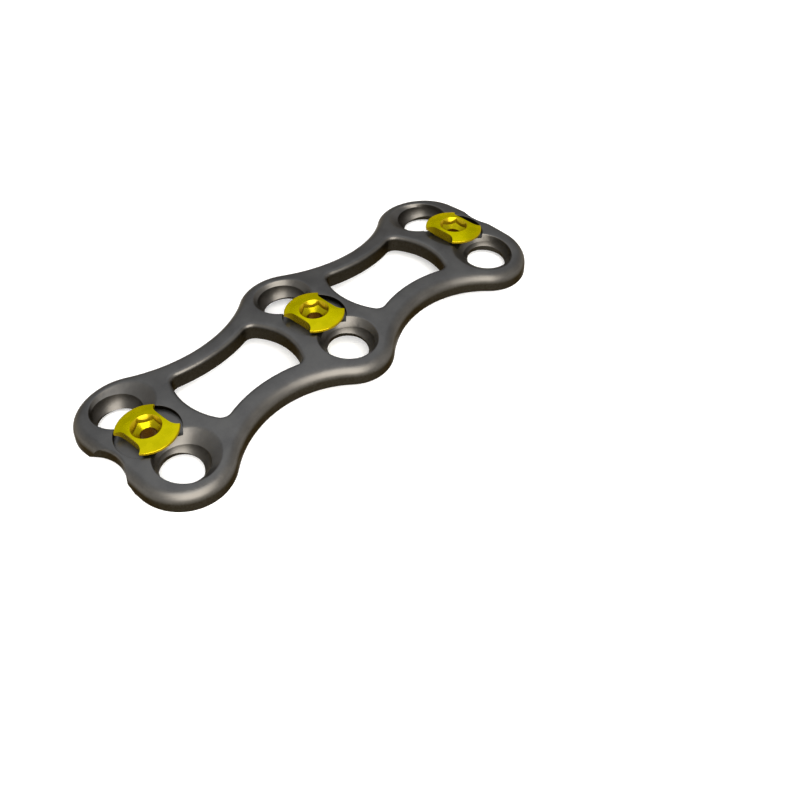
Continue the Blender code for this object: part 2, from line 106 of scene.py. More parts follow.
# %% Sizes of the screw holes and the cams
END_HOLE = (ROW_PITCH + 0.00031, 0.00442)
MID_HOLE = (0.0, 0.00442)
END_HOLE_LEAN = 0.140         # toward the plate's middle, per unit of height
END_HOLE_SPREAD = 0.090       # toward the plate's side
MID_HOLE_SPREAD = 0.080
BORE_RADIUS = 0.00195
SEAT_RADIUS = 0.00250
SEAT_START = 0.00035
FLARE_START = 0.00120         # height of the seat's rim, at its middle
SEAT_RIM_SLANT = 0.100        # the seat's rim is lower on the side of the cam
FLARE_MOUTH_Y = 0.00450
END_FLARE_X = ROW_PITCH - 0.00050
END_FLARE_RADIUS = 0.00306
MID_FLARE_RADIUS = 0.00288
MOUTH_ROUND = 0.00009         # small round on every cut edge of the top face

RUNNING_GAP = 0.00020
CAM_RADIUS = 0.00290
CAM_PROUD = 0.00034           # rim above the plate's top face
CAM_CROWN = 0.00027           # rise of the dome from the rim to the socket
CAM_RIM = 0.00026
CAM_THRUST_RADIUS = 0.00200
RECESS_DEPTH = 0.00045
RECESS_CLEARANCE = 0.00016
STEM_RADIUS = 0.00150
FOOT_RADIUS = 0.00190
FOOT_THICKNESS = 0.00035
FOOT_SETBACK = 0.00010
SCALLOP_DEPTH_RADIUS = 0.00172
SCALLOP_FLAT = 0.00184
SCALLOP_CORNER = 0.00095
SOCKET_CORNER_RADIUS = 0.00140   # the hexagon's corners reach the round mouth
SOCKET_TURN = math.radians(30.0)
SOCKET_CONE_DEPTH = 0.00040      # where the guide cone meets the flats
SOCKET_DEPTH = 0.00073           # at the flats
LEDGE_DEPTH = 0.00104
THROUGH_BORE_RADIUS = 0.00080
CAM_SEAT_GAP = 0.00004           # under the ring that the cam turns on

# the plate stands on the corners of its arch, so the middle of its bone side is higher
STAND_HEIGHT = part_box("middle_lock_cam")[1].z - THICKNESS - CAM_PROUD - CAM_CROWN
print("middle of the bone side above the floor, mm:", round(STAND_HEIGHT * 1000.0, 3))

# %% [markdown]
# ## The camera
# The camera looks down at the plate from a corner, from about 11 cm away. That is
# near for a small object, so the near end looks clearly larger than the far end.
# The lens is given as the width of the picture that one metre fills at one metre,
# in picture points, which turns into a focal length on a 36 mm film.

# %% The camera
PICTURE = 800.0               # points along each side of the picture
LENS_POINTS = 1158.1
CAMERA_TURN = -0.80908        # radians round the plate
CAMERA_RISE = 0.76272         # radians above the floor
CAMERA_ROLL = -0.01589
CAMERA_DISTANCE = 0.111713
PLATE_MIDDLE_AT = (315.6, 328.9)   # where the plate's middle lies in the picture


def place_camera():
    back = Vector((math.sin(CAMERA_TURN) * math.cos(CAMERA_RISE),
                   -math.cos(CAMERA_TURN) * math.cos(CAMERA_RISE), math.sin(CAMERA_RISE)))
    right = Vector((math.cos(CAMERA_TURN), math.sin(CAMERA_TURN), 0.0))
    up = back.cross(right)
    across = right * math.cos(CAMERA_ROLL) + up * math.sin(CAMERA_ROLL)
    upward = up * math.cos(CAMERA_ROLL) - right * math.sin(CAMERA_ROLL)
    half = PICTURE / 2.0
    aside = (PLATE_MIDDLE_AT[0] - half) / LENS_POINTS * CAMERA_DISTANCE
    above = (half - PLATE_MIDDLE_AT[1]) / LENS_POINTS * CAMERA_DISTANCE
    middle = Vector((0.0, 0.0, STAND_HEIGHT))
    data = bpy.data.cameras.new("camera")
    data.sensor_width = 36.0
    data.lens = LENS_POINTS / PICTURE * data.sensor_width
    data.clip_start = 0.005
    data.clip_end = 20.0
    camera = bpy.data.objects.new("camera", data)
    bpy.context.scene.collection.objects.link(camera)
    turn = Matrix((across, upward, back)).transposed().to_4x4()
    place = middle - across * aside - upward * above + back * CAMERA_DISTANCE
    camera.matrix_world = Matrix.Translation(place) @ turn
    bpy.context.scene.camera = camera
    return camera


camera = place_camera()
print("lens, mm:", round(camera.data.lens, 1))

# %% [markdown]
# ## Drawing the outline
# The plate's edge is made of arcs that run smoothly into each other: a lobe round
# each pair of screw holes and a hollow waist between the lobes. Each arc is drawn
# from its centre and radius. An inset of the whole outline keeps every centre and
# only changes the radii, which makes a fillet easy to build ring by ring.

# %% Drawing arcs
CHORD = 0.00026               # longest straight step along an outline
TURN_STEP = math.radians(9.0)    # largest turn between two steps
SAME_POINT = 1e-7


def angle_of(centre, point):
    return math.atan2(point[1] - centre[1], point[0] - centre[0])


def arc(centre, radius, start, end, reference):
    """Points on an arc. reference is the radius that sets how many there are."""
    span = abs(end - start)
    count = max(2, math.ceil(span * reference / CHORD), math.ceil(span / TURN_STEP))
    return [(centre[0] + radius * math.cos(start + (end - start) * i / count),
             centre[1] + radius * math.sin(start + (end - start) * i / count))
            for i in range(count + 1)]


def circles_meet(c1, r1, c2, r2, side):
    """Where two circles cross. side is 1 or -1, left or right of the line c1 to c2."""
    dx, dy = c2[0] - c1[0], c2[1] - c1[1]
    d = math.hypot(dx, dy)
    along = (r1 * r1 - r2 * r2 + d * d) / (2.0 * d)
    off = math.sqrt(max(r1 * r1 - along * along, 0.0))
    return (c1[0] + (along * dx - side * off * dy) / d,
            c1[1] + (along * dy + side * off * dx) / d)


def without_repeats(points):
    ring = []
    for p in points:
        if not ring or math.hypot(p[0] - ring[-1][0], p[1] - ring[-1][1]) > SAME_POINT:
            ring.append(p)
    if math.hypot(ring[0][0] - ring[-1][0], ring[0][1] - ring[-1][1]) < SAME_POINT:
        ring.pop()
    return ring


WAIST = circles_meet(END_LOBE, END_LOBE_RADIUS + WAIST_RADIUS,
                     MID_LOBE, MID_LOBE_RADIUS + WAIST_RADIUS, -1.0)


# %% The plate's outline
def plate_outline(inset=0.0):
    """One quarter from the end to the middle lobe, then mirrored three times."""
    end = angle_of(END_LOBE, WAIST)
    mid = angle_of(MID_LOBE, WAIST)
    quarter = [(END_LOBE[0] + END_LOBE_RADIUS - inset, 0.0)]
    quarter += arc(END_LOBE, END_LOBE_RADIUS - inset, 0.0, end, END_LOBE_RADIUS)
    quarter += arc(WAIST, WAIST_RADIUS + inset, end - math.pi, mid - math.pi, WAIST_RADIUS)
    quarter += arc(MID_LOBE, MID_LOBE_RADIUS - inset, mid, math.pi / 2.0, MID_LOBE_RADIUS)
    left = [(-x, y) for x, y in reversed(quarter)]
    below = [(-x, -y) for x, y in quarter]
    right = [(x, -y) for x, y in reversed(quarter)]
    return without_repeats(quarter + left + below + right)


outline = plate_outline()
print("outline points:", len(outline))
print("plate, mm:", round(2000.0 * max(x for x, y in outline), 2), "by",
      round(2000.0 * max(y for x, y in outline), 2))


# %% The windows' outline
def window_outline(grow=0.0):
    """The opening for the bone graft: bowed ends and sides with round corners."""
    side = WAIST_RADIUS + STRUT_WIDTH
    corner = WINDOW_CORNER_RADIUS
    outer = (WINDOW_OUTER_X - WINDOW_OUTER_END_RADIUS, 0.0)
    inner = (WINDOW_INNER_X + WINDOW_INNER_END_RADIUS, 0.0)
    outer_k = max(circles_meet(outer, WINDOW_OUTER_END_RADIUS - corner, WAIST, side + corner, s)
                  for s in (1.0, -1.0))
    inner_k = min(circles_meet(inner, WINDOW_INNER_END_RADIUS - corner, WAIST, side + corner, s)
                  for s in (1.0, -1.0))
    a1, a2 = angle_of(outer, outer_k), angle_of(WAIST, outer_k)
    a3, a4 = angle_of(WAIST, inner_k), angle_of(inner, inner_k)
    half = arc(outer, WINDOW_OUTER_END_RADIUS + grow, 0.0, a1, WINDOW_OUTER_END_RADIUS)
    half += arc(outer_k, corner + grow, a1, a2 + math.pi, corner)
    half += arc(WAIST, side - grow, a2, a3, side)
    half += arc(inner_k, corner + grow, a3 + math.pi, a4, corner)
    half += arc(inner, WINDOW_INNER_END_RADIUS + grow, a4, math.pi, WINDOW_INNER_END_RADIUS)
    return without_repeats(half + [(x, -y) for x, y in reversed(half)])


window = window_outline()
print("window, mm:", round(1000.0 * (WINDOW_OUTER_X - WINDOW_INNER_X), 2), "long,",
      round(2000.0 * max(y for x, y in window), 2), "wide at most")

# %% [markdown]
# ## From outlines to solids
# The real plate starts as a flat bar. It is milled, its edges are rounded, and it
# is pressed into its arch. The script keeps that order. While the plate is flat,
# the top face is one plane, so a rounded edge is only a few rings of the same
# outline, each at its own height and inset.

# %% Solids and cuts
WELD = 2e-7                   # points closer than this are one point
OVERSHOOT = 0.0010            # how far a cutter reaches past the bone side
makings = bpy.data.collections.new("makings")
bpy.context.scene.collection.children.link(makings)


def new_object(name, mesh):
    obj = bpy.data.objects.new(name, mesh)
    makings.objects.link(obj)
    return obj


def skin(name, rings):
    """A closed skin over rings with equal counts of (x, y, z) points."""
    bm = bmesh.new()
    loops = [[bm.verts.new(p) for p in ring] for ring in rings]
    for low, high in zip(loops, loops[1:]):
        for i in range(len(low)):
            j = (i + 1) % len(low)
            bm.faces.new((low[i], low[j], high[j], high[i]))
    bm.faces.new(list(reversed(loops[0])))
    bm.faces.new(loops[-1])
    bmesh.ops.recalc_face_normals(bm, faces=bm.faces)
    mesh = bpy.data.meshes.new(name)
    bm.to_mesh(mesh)
    bm.free()
    return mesh


def circle(centre, radius, height, steps):
    return [(centre[0] + radius * math.cos(math.tau * i / steps),
             centre[1] + radius * math.sin(math.tau * i / steps), height) for i in range(steps)]


def together(name, meshes):
    bm = bmesh.new()
    for mesh in meshes:
        bm.from_mesh(mesh)
    result = bpy.data.meshes.new(name)
    bm.to_mesh(result)
    bm.free()
    return result


def plain_mesh(obj):
    """The object as its modifiers leave it, as a mesh of its own."""
    depsgraph = bpy.context.evaluated_depsgraph_get()
    depsgraph.update()
    return bpy.data.meshes.new_from_object(obj.evaluated_get(depsgraph))


def welded(mesh):
    bm = bmesh.new()
    bm.from_mesh(mesh)
    bmesh.ops.remove_doubles(bm, verts=bm.verts, dist=WELD)
    bm.to_mesh(mesh)
    bm.free()
    return mesh


def volume(mesh):
    bm = bmesh.new()
    bm.from_mesh(mesh)
    size = bm.calc_volume() * 1e9
    bm.free()
    return round(size, 1)


def cut_away(mesh, cutters):
    """Cut each (name, mesh) of cutters out of the mesh, one after the other."""
    for name, cutter in cutters:
        work, tool = new_object("work", mesh), new_object(name, cutter)
        boolean = work.modifiers.new(name, "BOOLEAN")
        boolean.operation = "DIFFERENCE"
        boolean.solver = "EXACT"
        boolean.object = tool
        mesh = welded(plain_mesh(work))
        bpy.data.objects.remove(work, do_unlink=True)
        bpy.data.objects.remove(tool, do_unlink=True)
        print("  after the", name, "cubic mm:", volume(mesh))
    return mesh


def round_over(edge, radius, steps, last=math.radians(80.0)):
    """Heights and growths of a rounded mouth that opens at the height edge."""
    yield edge - radius, 0.0
    for i in range(1, steps + 1):
        a = last * i / steps
        yield edge - radius * (1.0 - math.sin(a)), radius * (1.0 - math.cos(a))
    # a straight run-out, so that the cutter doesn't end in the face that it cuts
    yield (edge - radius * (1.0 - math.sin(last)) + radius * math.cos(last),
           radius * (1.0 - math.cos(last)) + radius * math.sin(last))


# %% [markdown]
# ## The flat blank
# Rings of the outline are stacked from the bone side to the top face. The last
# eleven lie on a quarter circle, the broad fillet that catches the light along
# the whole edge of the plate.

# %% The flat blank
BONE_EDGE_STEPS = 6
TOP_FILLET_STEPS = 10


def quarter_turn(steps):
    return [math.pi / 2.0 * i / steps for i in range(steps + 1)]


def flat_blank():
    heights = [(BONE_EDGE_ROUND * (1.0 - math.cos(a)), BONE_EDGE_ROUND * (1.0 - math.sin(a)))
               for a in quarter_turn(BONE_EDGE_STEPS)]
    heights += [(THICKNESS - TOP_FILLET * (1.0 - math.sin(a)), TOP_FILLET * (1.0 - math.cos(a)))
                for a in quarter_turn(TOP_FILLET_STEPS)]
    return skin("blank", [[(x, y, z) for x, y in plate_outline(inset)] for z, inset in heights])


blank = flat_blank()
print("flat blank faces:", len(blank.polygons))

# %% [markdown]
# ## Windows and notches
# Two windows let the surgeon see the bone graft, and a round notch in each end
# takes the hook of the plate holder. Both have a small round on their top edge.
# Under each notch the wall slopes away, so the hook can grip below the plate.

# %% Windows and notches
ROUND_STEPS = 7
NOTCH_STEPS = 144


def window_cutters():
    below = OVERSHOOT / 2.0
    rings = [(-below, below + BONE_EDGE_ROUND), (BONE_EDGE_ROUND, 0.0)]
    rings += list(round_over(THICKNESS, WINDOW_FILLET, ROUND_STEPS))
    return together("windows", [
        skin("window", [[(side * x, y, z) for x, y in window_outline(grow)] for z, grow in rings])
        for side in (1.0, -1.0)])


def notch_cutters():
    rings = [(-OVERSHOOT, NOTCH_RELIEF + OVERSHOOT), (NOTCH_RELIEF, 0.0)]
    rings += list(round_over(THICKNESS, NOTCH_FILLET, ROUND_STEPS))
    return together("notches", [
        skin("notch", [circle((side * (NOTCH_DEEPEST_X + NOTCH_RADIUS), 0.0),
                              NOTCH_RADIUS + grow, z, NOTCH_STEPS) for z, grow in rings])
        for side in (1.0, -1.0)])


windows, notches = window_cutters(), notch_cutters()
print("window and notch cutters:", len(windows.polygons), "and", len(notches.polygons), "faces")

# %% [markdown]
# ## Screw holes
# Bore, ball seat and flare are one cutter, a stack of circles. Any flat section of
# a ball is a circle, so the rings on the seat can turn step by step from square to
# the leaning screw at the bore to the slanting rim at the flare. The rim is lower
# on the side of the cam and of the plate's middle, where the driver comes from.

# %% Screw holes
HOLE_STEPS = 112
SEAT_STEPS = 8
MOUTH_STEPS = 6
BORE_BEVEL = 0.00012          # on the bone side
SEAT_CENTRE = SEAT_START + math.sqrt(SEAT_RADIUS ** 2 - BORE_RADIUS ** 2)
UP = Vector((0.0, 0.0, 1.0))


def each_hole():
    """Yields the bore centre, lean, flare mouth and mouth radius of all six holes."""
    for row in (1, 0, -1):
        for side in (1, -1):
            if row:
                yield ((row * END_HOLE[0], side * END_HOLE[1]),
                       Vector((-row * END_HOLE_LEAN, side * END_HOLE_SPREAD, 1.0)),
                       Vector((row * END_FLARE_X, side * FLARE_MOUTH_Y)), END_FLARE_RADIUS)
            else:
                yield ((0.0, side * MID_HOLE[1]), Vector((0.0, side * MID_HOLE_SPREAD, 1.0)),
                       Vector((0.0, side * FLARE_MOUTH_Y)), MID_FLARE_RADIUS)


def tilted_circle(middle, normal, radius):
    turn = UP.rotation_difference(normal)
    return [middle + turn @ Vector((radius * math.cos(math.tau * i / HOLE_STEPS),
                                    radius * math.sin(math.tau * i / HOLE_STEPS), 0.0))
            for i in range(HOLE_STEPS)]


def screw_hole(centre, lean, mouth, mouth_radius):
    axis = lean.normalized()
    foot = Vector((centre[0], centre[1], 0.0))
    ball = foot + lean * SEAT_CENTRE
    rings = [tilted_circle(foot - axis * 1.2 * OVERSHOOT, axis, BORE_RADIUS)]
    low = -math.sqrt(SEAT_RADIUS ** 2 - BORE_RADIUS ** 2)
    high = FLARE_START - SEAT_CENTRE
    rim_axis = Vector((lean.x / 2.0, -math.copysign(SEAT_RIM_SLANT, lean.y), 1.0)).normalized()
    for i in range(SEAT_STEPS + 1):
        t = i / SEAT_STEPS
        normal, along = axis.lerp(rim_axis, t).normalized(), low + (high - low) * t
        rings.append(tilted_circle(ball + normal * along, normal,
                                   math.sqrt(SEAT_RADIUS ** 2 - along ** 2)))
    low_radius = math.sqrt(SEAT_RADIUS ** 2 - high ** 2)
    for z, grow in round_over(THICKNESS, MOUTH_ROUND, MOUTH_STEPS):
        t = (z - FLARE_START) / (THICKNESS - FLARE_START)
        x, y = Vector((ball.x, ball.y)).lerp(mouth, t)
        rings.append(circle((x, y), low_radius + (mouth_radius - low_radius) * t + grow,
                            z, HOLE_STEPS))
    return skin("screw hole", rings)


def bone_side_bevel(centre):
    """A short cone. It starts below the bone side and ends inside the bore."""
    below, above = 0.0004, 0.0002
    return skin("bevel", [
        circle(centre, BORE_RADIUS + BORE_BEVEL + below, -below, HOLE_STEPS),
        circle(centre, BORE_RADIUS - above, BORE_BEVEL + above, HOLE_STEPS)])


holes = together("holes", [screw_hole(*hole) for hole in each_hole()])
bevels = together("bevels", [bone_side_bevel(hole[0]) for hole in each_hole()])
print("screw holes:", len(list(each_hole())), "ball centre, mm:",
      round(SEAT_CENTRE * 1000.0, 3))

# %% [markdown]
# ## Pockets for the cams
# Each cam sits in a shallow round pocket. Below it are a bore for its stem and a
# wider step for its foot, which keeps it from falling out. The arch tilts the end
# rows a little, so their pockets lean outwards by the slope of the arch there.

# %% Pockets for the cams
def cam_pocket(row):
    slope = math.tan(math.asin(row * ROW_PITCH / ARCH_RADIUS))
    step = FOOT_SETBACK + FOOT_THICKNESS + RUNNING_GAP
    profile = [(-OVERSHOOT, FOOT_RADIUS + RUNNING_GAP), (step, FOOT_RADIUS + RUNNING_GAP),
               (step, STEM_RADIUS + RUNNING_GAP),
               (THICKNESS - RECESS_DEPTH, STEM_RADIUS + RUNNING_GAP),
               (THICKNESS - RECESS_DEPTH, CAM_RADIUS + RECESS_CLEARANCE)]
    profile += [(z, CAM_RADIUS + RECESS_CLEARANCE + grow)
                for z, grow in round_over(THICKNESS, MOUTH_ROUND / 2.0, MOUTH_STEPS)]
    return skin("pocket", [circle((row * ROW_PITCH + slope * z, 0.0), r, z, HOLE_STEPS)
                           for z, r in profile])


pockets = together("pockets", [cam_pocket(row) for row in (1, 0, -1)])
flat_plate = cut_away(blank, [("windows", windows), ("notches", notches), ("bevels", bevels),
                              ("pockets", pockets), ("holes", holes)])
print("milled flat plate:", len(flat_plate.polygons), "faces")

# %% [markdown]
# ## Lines that let the plate bend
# A face can only bend where it has points. The flat plate is cut along a fine
# grid of planes, which changes nothing in its shape but gives the large faces
# enough points to follow the arch.

# %% Lines that let the plate bend
BEND_STEP = 0.0009
OFF_CENTRE = 0.37             # keeps the planes off the plate's own middle lines


def score(mesh, step):
    bm = bmesh.new()
    bm.from_mesh(mesh)
    for axis in (0, 1):
        reach = max(abs(v.co[axis]) for v in bm.verts)
        normal = Vector((1.0 - axis, float(axis), 0.0))
        for i in range(-int(reach / step) - 1, int(reach / step) + 1):
            at = (i + OFF_CENTRE) * step
            bmesh.ops.bisect_plane(bm, geom=bm.verts[:] + bm.edges[:] + bm.faces[:],
                                   dist=SAME_POINT, plane_co=normal * at, plane_no=normal)
    bm.to_mesh(mesh)
    bm.free()
    return mesh


flat_plate = score(flat_plate, BEND_STEP)
print("scored flat plate:", len(flat_plate.polygons), "faces")

# %% [markdown]
# ## The blasted titanium
# The grey comes from the metal's own oxide. Blasting with fine beads leaves a
# satin skin with a very small grain, and the grey is a little uneven. The steep
# sides are painted a dark brown, as painted shade, and the slopes between them are
# painted a little warmer and lighter, as a painted highlight. So the colour follows
# how far a face looks up. It doesn't follow the camera.

# %% The blasted titanium
def node(tree, kind, **values):
    made = tree.nodes.new(kind)
    for key, value in values.items():
        setattr(made, key, value)
    return made


def maths(tree, operation, a, b=None):
    made = node(tree, "ShaderNodeMath", operation=operation)
    for i, value in enumerate((a, b)):
        if value is None:
            continue
        if isinstance(value, (int, float)):
            made.inputs[i].default_value = value
        else:
            tree.links.new(value, made.inputs[i])
    return made.outputs[0]


def noise(tree, vector, scale, detail=3.0, roughness=0.5):
    made = node(tree, "ShaderNodeTexNoise")
    made.inputs["Scale"].default_value = scale
    made.inputs["Detail"].default_value = detail
    made.inputs["Roughness"].default_value = roughness
    tree.links.new(vector, made.inputs["Vector"])
    return made.outputs["Fac"]


def stretch(tree, value, low, high, to_low, to_high):
    """Maps low..high onto to_low..to_high, and stops at both ends."""
    made = node(tree, "ShaderNodeMapRange")
    for name, number in (("From Min", low), ("From Max", high),
                         ("To Min", to_low), ("To Max", to_high)):
        made.inputs[name].default_value = number
    tree.links.new(value, made.inputs["Value"])
    return made.outputs["Result"]


def blend(tree, share, first, second):
    """Mixes two colours, each a tuple or a socket. share is a socket."""
    made = node(tree, "ShaderNodeMix", data_type="RGBA")
    tree.links.new(share, made.inputs[0])
    for place, colour in ((6, first), (7, second)):
        if isinstance(colour, tuple):
            made.inputs[place].default_value = (*colour, 1.0)
        else:
            tree.links.new(colour, made.inputs[place])
    return made.outputs[2]


def bump(tree, height, distance, strength, normal=None):
    made = node(tree, "ShaderNodeBump")
    made.inputs["Strength"].default_value = strength
    made.inputs["Distance"].default_value = distance
    tree.links.new(height, made.inputs["Height"])
    if normal is not None:
        tree.links.new(normal, made.inputs["Normal"])
    return made.outputs["Normal"]


def upward_share(tree, low, high):
    """0 on faces steeper than low, 1 on faces flatter than high."""
    geometry = node(tree, "ShaderNodeNewGeometry")
    parts = node(tree, "ShaderNodeSeparateXYZ")
    tree.links.new(geometry.outputs["Normal"], parts.inputs[0])
    return stretch(tree, maths(tree, "ABSOLUTE", parts.outputs["Z"]), low, high, 0.0, 1.0)


def blasted_titanium():
    mat = bpy.data.materials.new("blasted titanium")
    mat.use_nodes = True
    tree = mat.node_tree
    shader = tree.nodes["Principled BSDF"]
    place = node(tree, "ShaderNodeTexCoord").outputs["Object"]
    mottle = noise(tree, place, 420.0, 4.0, 0.55)
    speckle = noise(tree, place, 5200.0, 2.0, 0.5)
    grain = noise(tree, place, 15000.0, 2.0, 0.6)
    patch = stretch(tree, mottle, 0.35, 0.65, 0.0, 1.0)
    top = blend(tree, patch, (0.058, 0.058, 0.059), (0.074, 0.074, 0.074))
    # painted highlight: the slopes and fillets are painted warmer and lighter than the top
    slope = blend(tree, patch, (0.074, 0.069, 0.062), (0.092, 0.086, 0.078))
    open_face = blend(tree, upward_share(tree, 0.72, 0.97), slope, top)
    # painted shade: the steep walls are painted a dark brown
    painted_shade_wall = (0.016, 0.013, 0.008)
    colour = blend(tree, upward_share(tree, 0.08, 0.55), painted_shade_wall, open_face)
    bright_fleck = (0.150, 0.145, 0.135)
    colour = blend(tree, stretch(tree, speckle, 0.30, 0.70, 0.0, 0.06), colour, bright_fleck)
    tree.links.new(colour, shader.inputs["Base Color"])
    shader.inputs["Metallic"].default_value = 1.0
    shader.inputs["Specular Tint"].default_value = (0.45, 0.43, 0.40, 1.0)
    rough = maths(tree, "ADD", stretch(tree, mottle, 0.3, 0.7, 0.36, 0.44),
                  stretch(tree, speckle, 0.3, 0.7, -0.03, 0.03))
    tree.links.new(rough, shader.inputs["Roughness"])
    fine = bump(tree, grain, 0.000006, 0.35)
    tree.links.new(bump(tree, speckle, 0.000012, 0.25, fine), shader.inputs["Normal"])
    return mat


titanium = blasted_titanium()
print("titanium nodes:", len(titanium.node_tree.nodes))

# %% [markdown]
# ## Pressing the plate into its arch
# The arch follows a rule: every point drops by the fall of a large circle along
# the plate and of a smaller one across it. A rule is what Geometry Nodes are good
# at. The tree takes the two radii and the stand height as named inputs, so the
# same blank could be pressed into a flatter or a rounder plate.

# %% Pressing the plate into its arch
def fall(tree, radius, distance):
    """Nodes for sqrt(radius^2 - distance^2) - radius."""
    square = maths(tree, "MULTIPLY", radius, radius)
    left = maths(tree, "SUBTRACT", square, maths(tree, "MULTIPLY", distance, distance))
    return maths(tree, "SUBTRACT", maths(tree, "SQRT", left), radius)


def new_tree(name, inputs):
    tree = bpy.data.node_groups.new(name, "GeometryNodeTree")
    tree.interface.new_socket("Geometry", in_out="INPUT", socket_type="NodeSocketGeometry")
    names = {}
    for label, kind in inputs:
        names[label] = tree.interface.new_socket(label, in_out="INPUT", socket_type=kind).identifier
    tree.interface.new_socket("Geometry", in_out="OUTPUT", socket_type="NodeSocketGeometry")
    return tree, names, node(tree, "NodeGroupInput"), node(tree, "NodeGroupOutput")


def end_tree(tree, geometry, metal, out):
    """The last two nodes of each tree: real geometry with its metal."""
    real = node(tree, "GeometryNodeRealizeInstances")
    paint = node(tree, "GeometryNodeSetMaterial")
    tree.links.new(geometry, real.inputs[0])
    tree.links.new(real.outputs[0], paint.inputs["Geometry"])
    tree.links.new(metal, paint.inputs["Material"])
    tree.links.new(paint.outputs[0], out.inputs[0])


def arch_tree():
    tree, names, start, out = new_tree("press into an arch", [
        ("Lengthwise radius", "NodeSocketFloat"), ("Crosswise radius", "NodeSocketFloat"),
        ("Stand height", "NodeSocketFloat"), ("Metal", "NodeSocketMaterial")])
    place = node(tree, "ShaderNodeSeparateXYZ")
    tree.links.new(node(tree, "GeometryNodeInputPosition").outputs[0], place.inputs[0])
    drop = maths(tree, "ADD", fall(tree, start.outputs["Lengthwise radius"], place.outputs["X"]),
                 fall(tree, start.outputs["Crosswise radius"], place.outputs["Y"]))
    lift = node(tree, "ShaderNodeCombineXYZ")
    tree.links.new(maths(tree, "ADD", drop, start.outputs["Stand height"]), lift.inputs["Z"])
    press = node(tree, "GeometryNodeSetPosition")
    tree.links.new(start.outputs["Geometry"], press.inputs["Geometry"])
    tree.links.new(lift.outputs[0], press.inputs["Offset"])
    end_tree(tree, press.outputs[0], start.outputs["Metal"], out)
    return tree, names


def run_tree(obj, made, values):
    """Put the tree on the object, set its inputs, and turn the result into a mesh."""
    tree, names = made
    modifier = obj.modifiers.new("shape", "NODES")
    modifier.node_group = tree
    for label, value in values.items():
        modifier[names[label]] = value
    mesh = plain_mesh(obj)
    obj.modifiers.remove(modifier)
    return mesh


PLATE_CREASE = math.radians(16.0)


def finished(name, mesh, crease):
    """The finished piece: smooth faces, with a sharp line where two faces meet steeply."""
    for poly in mesh.polygons:
        poly.use_smooth = True
    mesh.set_sharp_from_angle(angle=crease)
    mesh.name = name
    obj = bpy.data.objects.new(name, mesh)
    bpy.context.scene.collection.objects.link(obj)
    return obj


pressed = run_tree(new_object("flat_plate", flat_plate), arch_tree(), {
    "Lengthwise radius": ARCH_RADIUS, "Crosswise radius": SADDLE_RADIUS,
    "Stand height": STAND_HEIGHT, "Metal": titanium})
plate = finished("titanium_plate", pressed, PLATE_CREASE)
print("pressed plate:", len(plate.data.polygons), "faces, lowest point, mm:",
      round(min(v.co.z for v in plate.data.vertices) * 1000.0, 3))

# %% [markdown]
# ## The cam's body
# The cam is turned from bar. Its top is a shallow dome with a small round at the
# rim, its underside slopes in to a flat ring that rests on the pocket, and its
# stem ends in a foot. Two bays are then milled into the rim, down to the pocket.
# With the cam turned so that they face the windows, its rim covers the screws. A
# quarter turn brings the bays over the screws.

# %% The cam's body
CAM_STEPS = 144
CAM_EDGE = 0.00008            # round at the rim of the dome
CAM_EDGE_STEPS = 9            # ten degrees each
DOME_STEPS = 12
RIM_BREAK = 0.00003           # small bevels, under the rim and on the foot
FOOT_BREAK = 0.00006
FOOT_TOP_BREAK = 0.00004


def dome_height(radius):
    """Height of the domed top, from the rim up to the mouth of the socket."""
    rim = CAM_RADIUS - CAM_EDGE
    share = (rim ** 2 - radius ** 2) / (rim ** 2 - SOCKET_CORNER_RADIUS ** 2)
    return THICKNESS + CAM_PROUD + CAM_CROWN * share


def cam_body():
    """Z = 0 is the bone side, as on the plate."""
    rim_top = THICKNESS + CAM_PROUD
    thrust = THICKNESS - RECESS_DEPTH + CAM_SEAT_GAP
    foot_top = FOOT_SETBACK + FOOT_THICKNESS
    profile = [(FOOT_SETBACK, FOOT_RADIUS - FOOT_BREAK), (FOOT_SETBACK + FOOT_BREAK, FOOT_RADIUS),
               (foot_top - FOOT_TOP_BREAK, FOOT_RADIUS), (foot_top, FOOT_RADIUS - FOOT_TOP_BREAK),
               (foot_top + FOOT_RADIUS - STEM_RADIUS, STEM_RADIUS), (thrust, STEM_RADIUS),
               (thrust, CAM_THRUST_RADIUS), (rim_top - CAM_RIM, CAM_RADIUS - RIM_BREAK),
               (rim_top - CAM_RIM + RIM_BREAK, CAM_RADIUS)]
    profile += [(rim_top - CAM_EDGE * (1.0 - math.sin(a)),
                 CAM_RADIUS - CAM_EDGE * (1.0 - math.cos(a)))
                for a in quarter_turn(CAM_EDGE_STEPS)[:-1]]
    rim = CAM_RADIUS - CAM_EDGE
    inside = SOCKET_CORNER_RADIUS * 0.7      # well within the mouth of the socket
    profile += [(dome_height(r), r) for r in
                [rim + (inside - rim) * i / DOME_STEPS for i in range(1, DOME_STEPS + 1)]]
    return skin("cam", [circle((0.0, 0.0), r, z, CAM_STEPS) for z, r in profile])


def scallop_outline(grow):
    half, inner = SCALLOP_FLAT / 2.0, SCALLOP_DEPTH_RADIUS
    points = arc((inner + SCALLOP_CORNER, half), SCALLOP_CORNER + grow, math.pi, math.pi / 2.0,
                 SCALLOP_CORNER * 2.0)
    points.append((CAM_RADIUS * 2.0, half + SCALLOP_CORNER + grow))
    return points + [(x, -y) for x, y in reversed(points)]


SCALLOP_BEVEL = 0.00005
SCALLOP_OVER = 0.0004         # how far the cutter reaches above the dome


def scallops():
    """The bays, with a small bevel where they cut the dome."""
    bevel, top = SCALLOP_BEVEL, dome_height(SCALLOP_DEPTH_RADIUS)
    rings = [(THICKNESS - RECESS_DEPTH, 0.0), (top - bevel, 0.0),
             (top + 2.0 * bevel, 3.0 * bevel), (top + SCALLOP_OVER, 3.0 * bevel)]
    return together("scallops", [
        skin("scallop", [[(side * x, y, z) for x, y in scallop_outline(grow)] for z, grow in rings])
        for side in (1.0, -1.0)])


